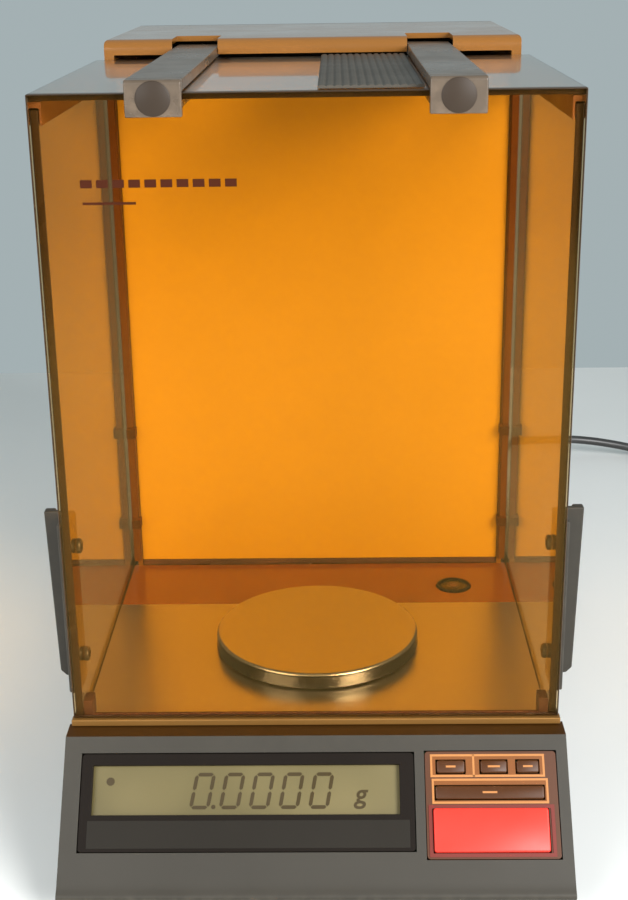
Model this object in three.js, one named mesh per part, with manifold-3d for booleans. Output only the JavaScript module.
// Analytical balance: a weighing chamber of amber panes in front of a rear tower, on a tray-shaped
// base, with a sloping console in front. Millimetres. +X is the operator's right, -Y faces the
// operator, +Z is up. The origin is on the bench under the middle of the balance.
import * as THREE from "three";
import { mergeVertices } from "three/addons/utils/BufferGeometryUtils.js";
import Module from "manifold-3d";

const wasm = await Module();
wasm.setup();

// ---- Driving dimensions ----
const gap = 0.3; // clearance between pieces that touch
const paneWidth = 205; // front pane
const paneHeight = 258;
const chamberDepth = 166; // front face of the front pane to the back wall
const towerDepth = 128;
const towerTop = 267; // above the foot of the front pane
const consoleRun = 53; // how far the console stands out in front of the pane
const consoleWidth = 209;
const paneFootHeight = 63; // bench to the foot of the front pane
const underside = 8; // bench to the underside of the base

const frontPaneThickness = 3;
const doorPaneThickness = 3.2;
const bodyHalf = 98.4; // half width of the base and the chamber floor
const towerHalf = 96.4;
const wall = 2.5; // moulded walls
const overallDepth = consoleRun + chamberDepth + towerDepth;

// The chamber frame has its origin in the middle of the front pane's foot, on its front face.
const balance = new THREE.Group();
const chamber = new THREE.Group();
chamber.position.set(0, consoleRun - overallDepth / 2, paneFootHeight);
balance.add(chamber);

const benchZ = -paneFootHeight; // the bench, in the chamber frame
const baseZ = benchZ + underside;
const floorZ = -2.4; // top of the chamber floor
const floorThickness = 1.6;
const rearY = chamberDepth + towerDepth;

// ---- Finishes ----
function finish(color, roughness, metalness = 0, opacity = 1) {
  const transparent = opacity < 1;
  return new THREE.MeshStandardMaterial({ color, roughness, metalness, transparent, opacity });
}
const greyPlastic = finish(0x695f55, 0.55);
const darkPlastic = finish(0x2e2822, 0.5);
const orangePanel = finish(0xff9800, 0.45);
const amberPane = finish(0xe09040, 0.08, 0, 0.4);
const stainless = finish(0xb9b3aa, 0.25, 1);
const steel = finish(0x9a9a98, 0.35, 1);
const castAluminium = finish(0xa7a9aa, 0.5, 1);
const champagne = finish(0xcda05f, 0.35, 0.8);
const blackRubber = finish(0x1d1b19, 0.85);
const circuitBoard = finish(0x2f5a34, 0.6);

// ---- Shape helpers ----
function block([x0, x1], [y0, y1], [z0, z1]) {
  const geometry = new THREE.BoxGeometry(x1 - x0, y1 - y0, z1 - z0);
  return geometry.translate((x0 + x1) / 2, (y0 + y1) / 2, (z0 + z1) / 2);
}

function outline(points) {
  return new THREE.Shape(points.map(([a, b]) => new THREE.Vector2(a, b)));
}

function roundedRectangle([a0, a1], [b0, b1], radius) {
  const shape = new THREE.Shape();
  shape.absarc(a1 - radius, b0 + radius, radius, -Math.PI / 2, 0);
  shape.absarc(a1 - radius, b1 - radius, radius, 0, Math.PI / 2);
  shape.absarc(a0 + radius, b1 - radius, radius, Math.PI / 2, Math.PI);
  shape.absarc(a0 + radius, b0 + radius, radius, Math.PI, Math.PI * 1.5);
  shape.closePath();
  return shape;
}

// An outline in (y, z) carried along X.
function alongX(shape, [x0, x1], curveSegments = 6) {
  const geometry = new THREE.ExtrudeGeometry(shape, { depth: x1 - x0, bevelEnabled: false, curveSegments });
  const turn = new THREE.Matrix4().makeBasis(
    new THREE.Vector3(0, 1, 0),
    new THREE.Vector3(0, 0, 1),
    new THREE.Vector3(1, 0, 0),
  );
  return geometry.applyMatrix4(turn).translate(x0, 0, 0);
}

// An outline in (x, z) carried along Y.
function alongY(shape, [y0, y1], curveSegments = 6) {
  const geometry = new THREE.ExtrudeGeometry(shape, { depth: y1 - y0, bevelEnabled: false, curveSegments });
  return geometry.rotateX(Math.PI / 2).translate(0, y1, 0);
}

// An outline in (x, y) carried along Z.
function alongZ(shape, [z0, z1], curveSegments = 6) {
  const geometry = new THREE.ExtrudeGeometry(shape, { depth: z1 - z0, bevelEnabled: false, curveSegments });
  return geometry.translate(0, 0, z0);
}

// A profile of [radius, height] pairs turned about Z.
function turned(profile, segments = 40) {
  const points = profile.map(([radius, height]) => new THREE.Vector2(radius, height));
  return new THREE.LatheGeometry(points, segments).rotateX(Math.PI / 2);
}

function disc(radius, [z0, z1], x = 0, y = 0, segments = 40) {
  const profile = [[0, z0], [radius, z0], [radius, z1], [0, z1]];
  return turned(profile, segments).translate(x, y, 0);
}

function solid(geometry) {
  const bare = geometry.clone();
  bare.deleteAttribute("normal");
  bare.deleteAttribute("uv");
  const merged = mergeVertices(bare, 1e-4);
  return new wasm.Manifold(new wasm.Mesh({
    numProp: 3,
    vertProperties: Float32Array.from(merged.attributes.position.array),
    triVerts: Uint32Array.from(merged.index.array),
  }));
}

function surface(shape) {
  const mesh = shape.getMesh();
  const geometry = new THREE.BufferGeometry();
  geometry.setAttribute("position", new THREE.BufferAttribute(mesh.vertProperties, 3));
  geometry.setIndex(new THREE.BufferAttribute(mesh.triVerts, 1));
  return geometry;
}

function join(...geometries) {
  return surface(geometries.map(solid).reduce((whole, part) => whole.add(part)));
}

function cut(geometry, ...tools) {
  return surface(tools.map(solid).reduce((whole, tool) => whole.subtract(tool), solid(geometry)));
}

function piece(parent, name, geometry, material) {
  const mesh = new THREE.Mesh(geometry, material.clone());
  mesh.name = name;
  parent.add(mesh);
  return mesh;
}

// The same piece on the left and on the right: make(side) gives its geometry, side is -1 or 1.
const sides = [["left", -1], ["right", 1]];
function pair(parent, name, material, make) {
  for (const [word, side] of sides) {
    piece(parent, `${name}_${word}`, make(side), material);
  }
}

// An X range measured outwards from the middle plane, put on one side of it.
function out(side, near, far) {
  return side > 0 ? [near, far] : [-far, -near];
}

// ---- Base ----
const trayFront = 1.5;
const trayTop = floorZ - floorThickness - gap;
const panX = 0;
const panY = 75;
const footInset = 25.8;
const inletX = 60;
const inletZ = -30;
const inletHalf = [14, 10.5];
const frontFootY = -30;
const rearFootY = rearY - 34;
const spindleRadius = 3;

// Opening for the cables between the base and the console
const cableWayX = [-60, 60];
const cableWayZ = [-40, -15];

function baseTray() {
  const tray = block([-bodyHalf, bodyHalf], [trayFront, rearY - gap], [baseZ, trayTop]);
  const hollow = block(
    [-bodyHalf + wall, bodyHalf - wall],
    [trayFront + wall, rearY - gap - wall],
    [baseZ + wall, trayTop + 1],
  );
  const cableWay = block(cableWayX, [trayFront - 1, trayFront + wall + 1], cableWayZ);
  const inletHole = block(
    [inletX - inletHalf[0] - gap, inletX + inletHalf[0] + gap],
    [rearY - wall - 2, rearY + 1],
    [inletZ - inletHalf[1] - gap, inletZ + inletHalf[1] + gap],
  );
  const footHoles = sides.map(([, side]) => (
    disc(spindleRadius + 0.4, [baseZ - 1, baseZ + wall + 1], side * (bodyHalf - footInset), rearFootY, 24)
  ));
  return cut(tray, hollow, cableWay, inletHole, ...footHoles);
}
piece(chamber, "base_tray", baseTray(), greyPlastic);

function levellingFoot(side) {
  const wheelRadius = 13;
  const wheelTop = benchZ + 6.8;
  const profile = [
    [0, benchZ],
    [8, benchZ],
    [8.5, benchZ + 1.6],
    [wheelRadius, benchZ + 2],
    [wheelRadius, wheelTop],
    [spindleRadius, wheelTop],
    [spindleRadius, baseZ + 16],
    [0, baseZ + 16],
  ];
  return turned(profile, 24).translate(side * (bodyHalf - footInset), rearFootY, 0);
}
pair(chamber, "levelling_foot", blackRubber, levellingFoot);

function frontFoot(side) {
  const profile = [
    [0, benchZ],
    [9, benchZ],
    [10, benchZ + 1],
    [11, baseZ - gap],
    [0, baseZ - gap],
  ];
  return turned(profile, 32).translate(side * (consoleWidth / 2 - footInset), frontFootY, 0);
}
pair(chamber, "front_foot", blackRubber, frontFoot);

// ---- Console: the sloping face has its own frame, x to the right, y up the slope, z out of it ----
const faceTop = [-9.4, -3.4];
const faceBottom = [-48.7, -47.6];
const faceRise = Math.atan2(faceTop[1] - faceBottom[1], faceTop[0] - faceBottom[0]);
const face = new THREE.Group();
face.position.set(0, faceTop[0], faceTop[1]);
face.rotation.x = faceRise;
chamber.add(face);
face.updateMatrix();

const consoleBack = 1.2;
const ledgeZ = faceTop[1];

// Areas of the face: x and y ranges in the face's frame.
const displayArea = { x: [-97, 40.8], y: [-47, -7.2] };
const keypadArea = { x: [45.4, 99.6], y: [-50.2, -6.8] };

function consoleProfile(inset) {
  const shape = new THREE.Shape();
  const across = inset / Math.sin(faceRise) - inset / Math.tan(faceRise);
  const back = consoleBack - inset;
  shape.moveTo(back, baseZ + inset);
  shape.lineTo(back, ledgeZ - inset);
  shape.lineTo(faceTop[0] + across, ledgeZ - inset);
  const noseTop = [faceBottom[0] + inset * Math.sin(faceRise), faceBottom[1] - inset * Math.cos(faceRise)];
  shape.lineTo(noseTop[0], noseTop[1]);
  const noseFront = -consoleRun + inset;
  const noseUnder = -consoleRun + 5.5;
  shape.bezierCurveTo(noseTop[0] - 3, noseTop[1] - 3.3, noseFront, baseZ + 4.4, noseFront, baseZ + 3);
  shape.quadraticCurveTo(noseFront, baseZ + inset, noseUnder, baseZ + inset);
  shape.closePath();
  return shape;
}

// A range made longer by the same amount at both ends.
function grown([low, high], by) {
  return [low - by, high + by];
}

function consoleHousing() {
  const half = consoleWidth / 2;
  const shell = alongX(consoleProfile(0), [-half, half]);
  const hollow = alongX(consoleProfile(wall), [-half + wall, half - wall]);
  const faceHoles = [displayArea, keypadArea].map((area) => (
    block(grown(area.x, gap), grown(area.y, gap), [-wall - 1, 1]).applyMatrix4(face.matrix)
  ));
  const cableWay = block(cableWayX, [consoleBack - wall - 1, consoleBack + 1], cableWayZ);
  return cut(shell, hollow, cableWay, ...faceHoles);
}
piece(chamber, "console_housing", consoleHousing(), greyPlastic);

const sillFront = -1.5;
piece(chamber, "front_sill", block(
  [-paneWidth / 2 - 0.8, paneWidth / 2 + 0.8],
  [sillFront, frontPaneThickness],
  [ledgeZ + gap, -gap],
), champagne);

// ---- Console face: display and keys ----
const windowArea = { x: [-92.3, 34.8], y: [-32.2, -11.9] };
const bezelTop = -0.5;

function plateWithHoles(area, [z0, z1], holes) {
  const plate = alongZ(roundedRectangle(area.x, area.y, 1.5), [z0, z1]);
  return cut(plate, ...holes.map((hole) => block(hole.x, hole.y, [z0 - 1, z1 + 1])));
}
piece(face, "display_bezel", plateWithHoles(displayArea, [-wall, bezelTop], [windowArea]), darkPlastic);
piece(face, "lcd_panel", block(
  grown(windowArea.x, 2),
  grown(windowArea.y, 2),
  [-5.4, -2.8],
), finish(0xa5966e, 0.3));

const keyPlateTop = -0.4;
const keyTravel = 0.8;
const keyClearance = 0.4;
const smallKeyY = [-15.8, -10.6];
const keys = {
  function_key: { x: [50.2, 61.8], y: smallKeyY, top: 0.7, color: 0x6e3c14 },
  range_key: { x: [68.3, 79.2], y: smallKeyY, top: 0.7, color: 0x6e3c14 },
  print_key: { x: [83.2, 92.3], y: smallKeyY, top: 0.7, color: 0x6e3c14 },
  power_key: { x: [49.4, 94], y: [-26.4, -21], top: 0.7, color: 0x5a3216 },
  tare_key: { x: [48.3, 95.2], y: [-47.6, -30.1], top: 1.2, color: 0xfa5548 },
};
const keyHoles = Object.values(keys).map((key) => ({
  x: grown(key.x, keyClearance),
  y: grown(key.y, keyClearance),
}));
const keypadPlate = plateWithHoles(keypadArea, [-wall, keyPlateTop], keyHoles);
piece(face, "keypad_plate", keypadPlate, finish(0xaa6e32, 0.5));

const keyDepth = 4; // below the face
function keycap(key) {
  const bevel = 0.5;
  const shape = roundedRectangle(grown(key.x, -bevel), grown(key.y, -bevel), 0.5);
  const cap = new THREE.ExtrudeGeometry(shape, {
    depth: key.top + keyDepth - 2 * bevel,
    bevelThickness: bevel,
    bevelSize: bevel,
    bevelSegments: 2,
    curveSegments: 3,
  });
  return cap.translate(0, 0, bevel - keyDepth);
}
for (const [name, key] of Object.entries(keys)) {
  piece(face, name, keycap(key), finish(key.color, 0.45));
}

// The board stands clear of the keys by more than their travel.
const boardTop = -keyDepth - keyTravel - 0.6;
piece(face, "display_board", join(
  block([-94, 98], [-48, -6], [boardTop - 1.6, boardTop - 0.2]),
  block([-80, -50], [-44, -36], [boardTop - 1.6, boardTop + 1.6]),
), circuitBoard);

// ---- Chamber floor ----
const plateSplit = 117; // where the steel plate ends and the glossy rear strip begins
const stemHole = 7;
const levelX = 69;
const levelY = 137;
const levelRadius = 8.5;
const floorRange = [floorZ - floorThickness, floorZ];
piece(chamber, "chamber_floor", cut(
  block([-bodyHalf, bodyHalf], [frontPaneThickness + gap, plateSplit], floorRange),
  disc(stemHole, [floorZ - 5, floorZ + 5], panX, panY),
), stainless);
piece(chamber, "rear_floor_strip", cut(
  block([-bodyHalf, bodyHalf], [plateSplit + gap, chamberDepth - gap], floorRange),
  disc(levelRadius + gap, [floorZ - 5, floorZ + 5], levelX, levelY),
), finish(0x4a2c12, 0.15));

const levelTop = floorZ + 0.8;
const vialDepth = 6;
piece(chamber, "spirit_level", turned([
  [0, levelTop - vialDepth],
  [levelRadius, levelTop - vialDepth],
  [levelRadius, levelTop],
  [6.8, levelTop],
  [6.5, levelTop - 0.6],
  [0, levelTop - 0.3],
], 32).translate(levelX, levelY, 0), finish(0x231c17, 0.4));

// ---- Pan and its carrier ----
const panRadius = 47.3;
const panTop = 5.6;
const panSheet = 1.3;
const panEdge = 2.2; // rounding between the top and the skirt
const skirtFoot = floorZ + 0.9;

function weighingPan() {
  const profile = new THREE.Path();
  profile.moveTo(0, panTop - panSheet);
  profile.lineTo(panRadius - panSheet, panTop - panSheet);
  profile.lineTo(panRadius - panSheet, skirtFoot);
  profile.lineTo(panRadius, skirtFoot);
  profile.lineTo(panRadius, panTop - panEdge);
  profile.absarc(panRadius - panEdge, panTop - panEdge, panEdge, 0, Math.PI / 2);
  profile.lineTo(0, panTop);
  const points = profile.getPoints(3);
  return new THREE.LatheGeometry(points, 64).rotateX(Math.PI / 2);
}
piece(chamber, "weighing_pan", weighingPan().translate(panX, panY, 0), stainless);

const stemFoot = -17;
piece(chamber, "pan_carrier", turned([
  [0, stemFoot],
  [3, stemFoot],
  [4, stemFoot + 2],
  [4, -1],
  [14, 2],
  [14, panTop - panSheet - gap],
  [0, panTop - panSheet - gap],
], 32).translate(panX, panY, 0), castAluminium);

// ---- Weigh cell under the floor ----
const cellFloor = baseZ + wall + gap;
const magnetY = 132;
const coilRadius = 11;
const leverZ = [stemFoot - 6, stemFoot - gap];
piece(chamber, "cell_frame", join(
  block([-32, 32], [36, 160], [cellFloor, cellFloor + 4]),
  ...sides.map(([, side]) => block(out(side, 12, 20), [80, 98], [cellFloor + 3, stemFoot])),
  block([-30, 30], [40, 50], [cellFloor + 3, -30]),
), castAluminium);
piece(chamber, "magnet_pot", turned([
  [0, cellFloor + 4 + gap],
  [20, cellFloor + 4 + gap],
  [20, -29],
  [13, -29],
  [13, -41],
  [9, -41],
  [9, -29],
  [0, -29],
], 32).translate(panX, magnetY, 0), steel);
piece(chamber, "load_lever", join(
  block([-7, 7], [panY - 8, magnetY + 6], leverZ),
  cut(
    disc(coilRadius + 1, [-38, leverZ[1]], panX, magnetY, 32),
    disc(coilRadius - 1, [-39, leverZ[0]], panX, magnetY, 32),
  ),
), castAluminium);

// ---- Tower ----
const railX = [45, 66];
const railTop = 263;
const railFoot = 252.5;
const railEnd = chamberDepth + 25;
const lipFoot = 260; // underside of the tower's front lip, over the slot for the top door
const coverBack = rearY - wall - gap;

// The tower's outline from the front: its cap stands out a little over the side doors.
function towerOutline() {
  const capHalf = 98.5;
  const capFoot = 253.5;
  const corner = 2;
  const shape = new THREE.Shape();
  shape.moveTo(-towerHalf, trayTop + gap);
  shape.lineTo(towerHalf, trayTop + gap);
  shape.lineTo(towerHalf, capFoot);
  shape.lineTo(capHalf, capFoot);
  shape.absarc(capHalf - corner, towerTop - corner, corner, 0, Math.PI / 2);
  shape.absarc(corner - capHalf, towerTop - corner, corner, Math.PI / 2, Math.PI);
  shape.lineTo(-capHalf, capFoot);
  shape.lineTo(-towerHalf, capFoot);
  shape.closePath();
  return shape;
}

// What the rounded front edge of the tower's cap leaves off a square edge.
function noseWaste() {
  const radius = 5;
  const foot = towerTop - radius;
  const shape = new THREE.Shape();
  shape.moveTo(chamberDepth - 1, towerTop + 1);
  shape.lineTo(chamberDepth - 1, foot);
  shape.absarc(chamberDepth + radius, foot, radius, Math.PI, Math.PI / 2, true);
  shape.lineTo(chamberDepth + radius, towerTop + 1);
  shape.closePath();
  return alongX(shape, [-towerHalf - wall, towerHalf + wall]);
}

function towerCover() {
  const cover = alongY(towerOutline(), [chamberDepth, coverBack], 4);
  const inside = block(
    [-towerHalf + wall, towerHalf - wall],
    [chamberDepth - 1, coverBack + 1],
    [trayTop - 1, towerTop - wall],
  );
  const lip = block(
    [-towerHalf + 1, towerHalf - 1],
    [chamberDepth, chamberDepth + wall],
    [lipFoot, towerTop - 1],
  );
  const railNotches = sides.map(([, side]) => block(
    grown(out(side, ...railX), gap),
    [chamberDepth - 1, railEnd + gap],
    [railFoot - gap, towerTop + 1],
  ));
  return cut(join(cut(cover, inside), lip), noseWaste(), ...railNotches);
}
piece(chamber, "tower_cover", towerCover(), orangePanel);

const wallFoot = floorZ + 2.8;
const wallHead = 251.8;
piece(chamber, "chamber_back_wall", block(
  [-towerHalf + wall + gap, towerHalf - wall - gap],
  [chamberDepth, chamberDepth + wall],
  [wallFoot + gap, wallHead],
), orangePanel);
piece(chamber, "wall_seal", block(
  [-towerHalf + wall + gap, towerHalf - wall - gap],
  [chamberDepth, chamberDepth + wall],
  [floorZ, wallFoot],
), blackRubber);

function rearPanel() {
  const panel = alongY(towerOutline(), [rearY - wall, rearY], 4);
  const vents = [];
  for (let row = 0; row < 8; row += 1) {
    const z = 196 + row * 7;
    vents.push(block([-48, 48], [rearY - wall - 1, rearY + 1], [z, z + 3]));
  }
  return cut(panel, ...vents);
}
piece(chamber, "rear_panel", rearPanel(), greyPlastic);

piece(chamber, "mains_inlet", cut(
  block(
    [inletX - inletHalf[0], inletX + inletHalf[0]],
    [rearY - 24, rearY],
    [inletZ - inletHalf[1], inletZ + inletHalf[1]],
  ),
  block([inletX - 12.2, inletX + 12.2], [rearY - 18, rearY + 2], [inletZ - 8.4, inletZ + 8.4]),
), darkPlastic);

const coreX = [-62, -6];
const coreY = [204, 262];
piece(chamber, "transformer", join(
  block(coreX, coreY, [cellFloor, -10]),
  block(grown(coreX, -8), grown(coreY, 6), [cellFloor + 8, -16]),
), steel);

const boardY = [rearY - 24, rearY - 22.4];
piece(chamber, "main_board", join(
  block([-78, 78], boardY, [40, 190]),
  block([-60, -30], [boardY[0] - 6, boardY[1] - 1], [120, 150]),
  block([-10, 20], [boardY[0] - 5, boardY[1] - 1], [60, 110]),
), circuitBoard);

// ---- Fixed panes and the frame over the chamber ----
piece(chamber, "front_pane", block(
  [-paneWidth / 2, paneWidth / 2],
  [0, frontPaneThickness],
  [0, paneHeight],
), amberPane);

const topPaneZ = [paneHeight - 2.6, paneHeight];
const grooveDepth = 3.6;
const grooveZ = [topPaneZ[0] - gap, topPaneZ[1] + gap];
const topStart = frontPaneThickness + gap;
const topEnd = chamberDepth - gap;
pair(chamber, "top_pane", amberPane, (side) => (
  block(out(side, railX[1] - grooveDepth + gap, paneWidth / 2), [topStart, topEnd], topPaneZ)
));

function topRail(side) {
  const rail = block(out(side, ...railX), [topStart, railEnd], [railFoot, railTop]);
  const doorGroove = block(
    out(side, railX[0] - 1, railX[0] + grooveDepth),
    [topStart - 1, railEnd + 1],
    [grooveZ[0] - 0.2, grooveZ[1] + 0.2],
  );
  const paneGroove = block(
    out(side, railX[1] - grooveDepth, railX[1] + 1),
    [topStart - 1, topEnd + gap],
    grooveZ,
  );
  return cut(rail, doorGroove, paneGroove);
}
pair(chamber, "top_rail", greyPlastic, topRail);

const clipFront = -3.4;
const clipFoot = 249.6;
function railClip(side) {
  const profile = outline([
    [clipFront, clipFoot],
    [-gap, clipFoot],
    [-gap, paneHeight + gap],
    [topStart - gap, paneHeight + gap],
    [topStart - gap, railTop],
    [clipFront + 1, railTop],
    [clipFront, railTop - 1],
  ]);
  return alongX(profile, out(side, ...railX));
}
pair(chamber, "rail_clip", greyPlastic, railClip);

// ---- Top door ----
const topDoorHalf = railX[0] + grooveDepth - 0.5;
piece(chamber, "top_door", block(
  [-topDoorHalf, topDoorHalf],
  [topStart + gap, chamberDepth + 6],
  topPaneZ,
), amberPane);

function doorGrip() {
  const left = 4.2;
  const right = 43.6;
  const foot = paneHeight + gap;
  const ribs = 13;
  const pitch = (right - left) / ribs;
  const profile = [[left, foot]];
  profile.push([right, foot]);
  for (let rib = ribs - 1; rib >= 0; rib -= 1) {
    const start = left + rib * pitch;
    profile.push([start + pitch, foot + 0.8]);
    profile.push([start + pitch * 0.7, foot + 1.3]);
    profile.push([start + pitch * 0.3, foot + 1.3]);
  }
  profile.push([left, foot + 0.8]);
  return alongY(outline(profile), [topStart + 2, chamberDepth - 3]);
}
piece(chamber, "top_door_grip", doorGrip(), darkPlastic);

// ---- Side doors and their guides ----
const doorX = [bodyHalf + gap, bodyHalf + gap + doorPaneThickness];
const channelOut = doorX[1] + gap;
const channelSkin = 0.8;
const doorFoot = -3.9;
const doorHead = 252.2;
const guideEnd = rearY - 2;
pair(chamber, "side_door", amberPane, (side) => (
  block(out(side, ...doorX), [topStart + gap, chamberDepth + 6], [doorFoot, doorHead])
));

// The gasket seals the foot of the front pane and ends in a stop block in each front corner.
piece(chamber, "front_gasket", join(
  block([-bodyHalf, bodyHalf], [topStart, topStart + 1.6], [floorZ + gap, 0.8]),
  ...sides.map(([, side]) => block(out(side, bodyHalf - 4, bodyHalf), [topStart, 11], [floorZ + gap, 7])),
), blackRubber);

// The lower channel is fixed to the side of the base.
function lowerChannel(side) {
  const runY = [topStart, guideEnd];
  const foot = doorFoot - 2;
  const web = block(out(side, doorX[0], channelOut + channelSkin), runY, [foot, doorFoot - gap]);
  const lip = block(out(side, channelOut, channelOut + channelSkin), runY, [foot, -0.8]);
  return join(web, lip);
}
pair(chamber, "lower_channel", darkPlastic, lowerChannel);

function upperChannel(side) {
  const head = topPaneZ[0] - gap;
  const runY = [topStart, topEnd];
  const body = block(out(side, doorX[0] - 1.3, channelOut + channelSkin), runY, [246.5, head]);
  const slot = block(out(side, doorX[0] - gap, channelOut), grown(runY, 1), [240, doorHead + 0.6]);
  return cut(body, slot);
}
pair(chamber, "upper_channel", darkPlastic, upperChannel);

// Strip up the rear corner, with a buffer at the height of each of the handle's screws.
const handleScrewZ = [23, 73];
function bufferStrip(side) {
  const stripOut = bodyHalf - 0.6;
  const stripX = out(side, stripOut - 3.4, stripOut);
  const strip = block(stripX, [chamberDepth - 3.5, chamberDepth - gap], [1, 246]);
  const bumps = handleScrewZ.map((z) => (
    block(out(side, stripOut - 4.8, stripOut), [chamberDepth - 6, chamberDepth - gap], [z - 2.5, z + 2.5])
  ));
  return join(strip, ...bumps);
}
pair(chamber, "buffer_strip", blackRubber, bufferStrip);

// The handle is a flange flat on the pane with a fin standing out at its rear edge.
const handleY = [5.5, 23.6];
const handleZ = [9, 86];
const finThickness = 2.6;
const finReach = 112.8;
const finReachFoot = 111;
const beadDepth = 4.6;
const handleScrewY = 16;
const flangeX = [doorX[1] + gap, doorX[1] + gap + 2.4];

function doorHandle(side) {
  const flange = block(out(side, ...flangeX), handleY, handleZ);
  const corner = 2.5;
  const finFront = handleY[1] - finThickness;
  const onSide = (points) => outline(points.map(([x, z]) => [side * x, z]));
  const fin = alongY(onSide([
    [flangeX[0], handleZ[0]],
    [finReachFoot - corner, handleZ[0]],
    [finReachFoot, handleZ[0] + corner],
    [finReach, handleZ[1]],
    [flangeX[0], handleZ[1]],
  ]), [finFront, handleY[1]]);
  const bead = alongY(onSide([
    [finReachFoot - beadDepth, handleZ[0] + corner],
    [finReachFoot, handleZ[0] + corner],
    [finReach, handleZ[1]],
    [finReach - beadDepth, handleZ[1]],
  ]), [finFront, finFront + beadDepth]);
  return join(flange, fin, bead);
}
pair(chamber, "door_handle", greyPlastic, doorHandle);

const screwNames = ["lower", "upper"];
for (const [word, side] of sides) {
  handleScrewZ.forEach((z, index) => {
    const head = new THREE.LatheGeometry([
      new THREE.Vector2(0, 0),
      new THREE.Vector2(3.2, 0),
      new THREE.Vector2(3.2, 1),
      new THREE.Vector2(2, 1.8),
      new THREE.Vector2(0, 2),
    ], 20);
    head.rotateZ(side > 0 ? Math.PI / 2 : -Math.PI / 2);
    head.translate(side * (doorX[0] - gap), handleScrewY, z);
    piece(chamber, `handle_screw_${word}_${screwNames[index]}`, head, steel);
  });
}

// ---- Mains lead: connector in the inlet, free lead, coil on the bench, tail and plug ----
const cordRadius = 3;
const cordRestZ = benchZ + cordRadius + 0.05;
const connectorEnd = rearY + 24;
const reliefEnd = connectorEnd + 30;

function connector() {
  const plugIn = block([inletX - 11.8, inletX + 11.8], [rearY - 17, rearY + 4], [inletZ - 8, inletZ + 8]);
  const grip = alongY(
    roundedRectangle([inletX - 13, inletX + 13], [inletZ - 9.5, inletZ + 9.5], 3),
    [rearY + 0.6, connectorEnd],
    4,
  );
  const relief = turned([
    [0, 0],
    [6, 0],
    [3.8, reliefEnd - connectorEnd + 1],
    [0, reliefEnd - connectorEnd + 1],
  ], 20).rotateX(-Math.PI / 2).translate(inletX, connectorEnd - 1, inletZ);
  return join(plugIn, grip, relief);
}
piece(chamber, "cord_connector", connector(), blackRubber);

const coilCentre = [290, 442];
const coilInner = 22;
const coilOuter = 41;
const coilHeight = 18;
const leadPoints = [
  [inletX, reliefEnd + gap, inletZ],
  [inletX + 0.4, 364, -30.2],
  [64, 382, -31.2],
  [73, 405, -33.2],
  [88, 430, -36],
  [108, 453, -39],
  [132, 472, -42],
  [158, 485.5, -44.6],
  [180, 492.4, -46.8],
  [197, 495.2, -48.8],
  [214, 495.6, -51.4],
  [231, 494, -54.4],
  [247, 490.7, -57.2],
  [263, 486.9, cordRestZ],
  [275, 484.2, cordRestZ],
];
const plugMiddleZ = benchZ + 6.8;
const tailPoints = [
  [coilCentre[0] + 39.3, 418.8, cordRestZ + 1.6],
  [coilCentre[0] + 39.4, 411.5, cordRestZ + 2],
  [coilCentre[0] + 39.4, 404, plugMiddleZ - 0.2],
];

function tube(points, steps) {
  const knots = points.map((point) => new THREE.Vector3(...point));
  const route = new THREE.CatmullRomCurve3(knots, false, "centripetal");
  const section = new THREE.Shape();
  section.absarc(0, 0, cordRadius, 0, Math.PI * 2);
  return new THREE.ExtrudeGeometry(section, { steps, extrudePath: route, curveSegments: 5 });
}
piece(chamber, "cord_lead", tube(leadPoints, 28), blackRubber);
piece(chamber, "cord_tail", tube(tailPoints, 3), blackRubber);
piece(chamber, "cord_coil", turned([
  [coilInner, benchZ + 1],
  [coilInner + 2, benchZ],
  [coilOuter - 2, benchZ],
  [coilOuter, benchZ + 2],
  [coilOuter, benchZ + coilHeight - 7],
  [coilOuter - 4, benchZ + coilHeight],
  [coilInner + 4, benchZ + coilHeight],
  [coilInner, benchZ + coilHeight - 5],
  [coilInner, benchZ + 1],
], 48).translate(coilCentre[0], coilCentre[1], 0), blackRubber);

// Two-pin mains plug lying on its flat side, pins towards the operator.
function mainsPlug() {
  const plugX = tailPoints[2][0];
  const entry = tailPoints[2][1] - 1; // the tail slopes up into the plug
  const bodyFront = entry - 50;
  const bodyZ = [benchZ, 2 * plugMiddleZ - benchZ];
  const body = alongZ(outline([
    [plugX - 17, bodyFront],
    [plugX + 17, bodyFront],
    [plugX + 17, bodyFront + 8],
    [plugX + 7, entry - 22],
    [plugX - 7, entry - 22],
    [plugX - 17, bodyFront + 8],
  ]), bodyZ);
  const relief = turned([[0, 0], [5.6, 0], [3.6, 24], [0, 24]], 20)
    .rotateX(-Math.PI / 2)
    .translate(plugX, entry - 24, plugMiddleZ);
  const pins = [-9.5, 9.5].map((offset) => (
    turned([[0, 0], [2.4, 0], [2.4, 20], [0, 20]], 16)
      .rotateX(Math.PI / 2)
      .translate(plugX + offset, bodyFront + 1, plugMiddleZ)
  ));
  return join(body, relief, ...pins);
}
piece(chamber, "mains_plug", mainsPlug(), blackRubber);

export default balance;
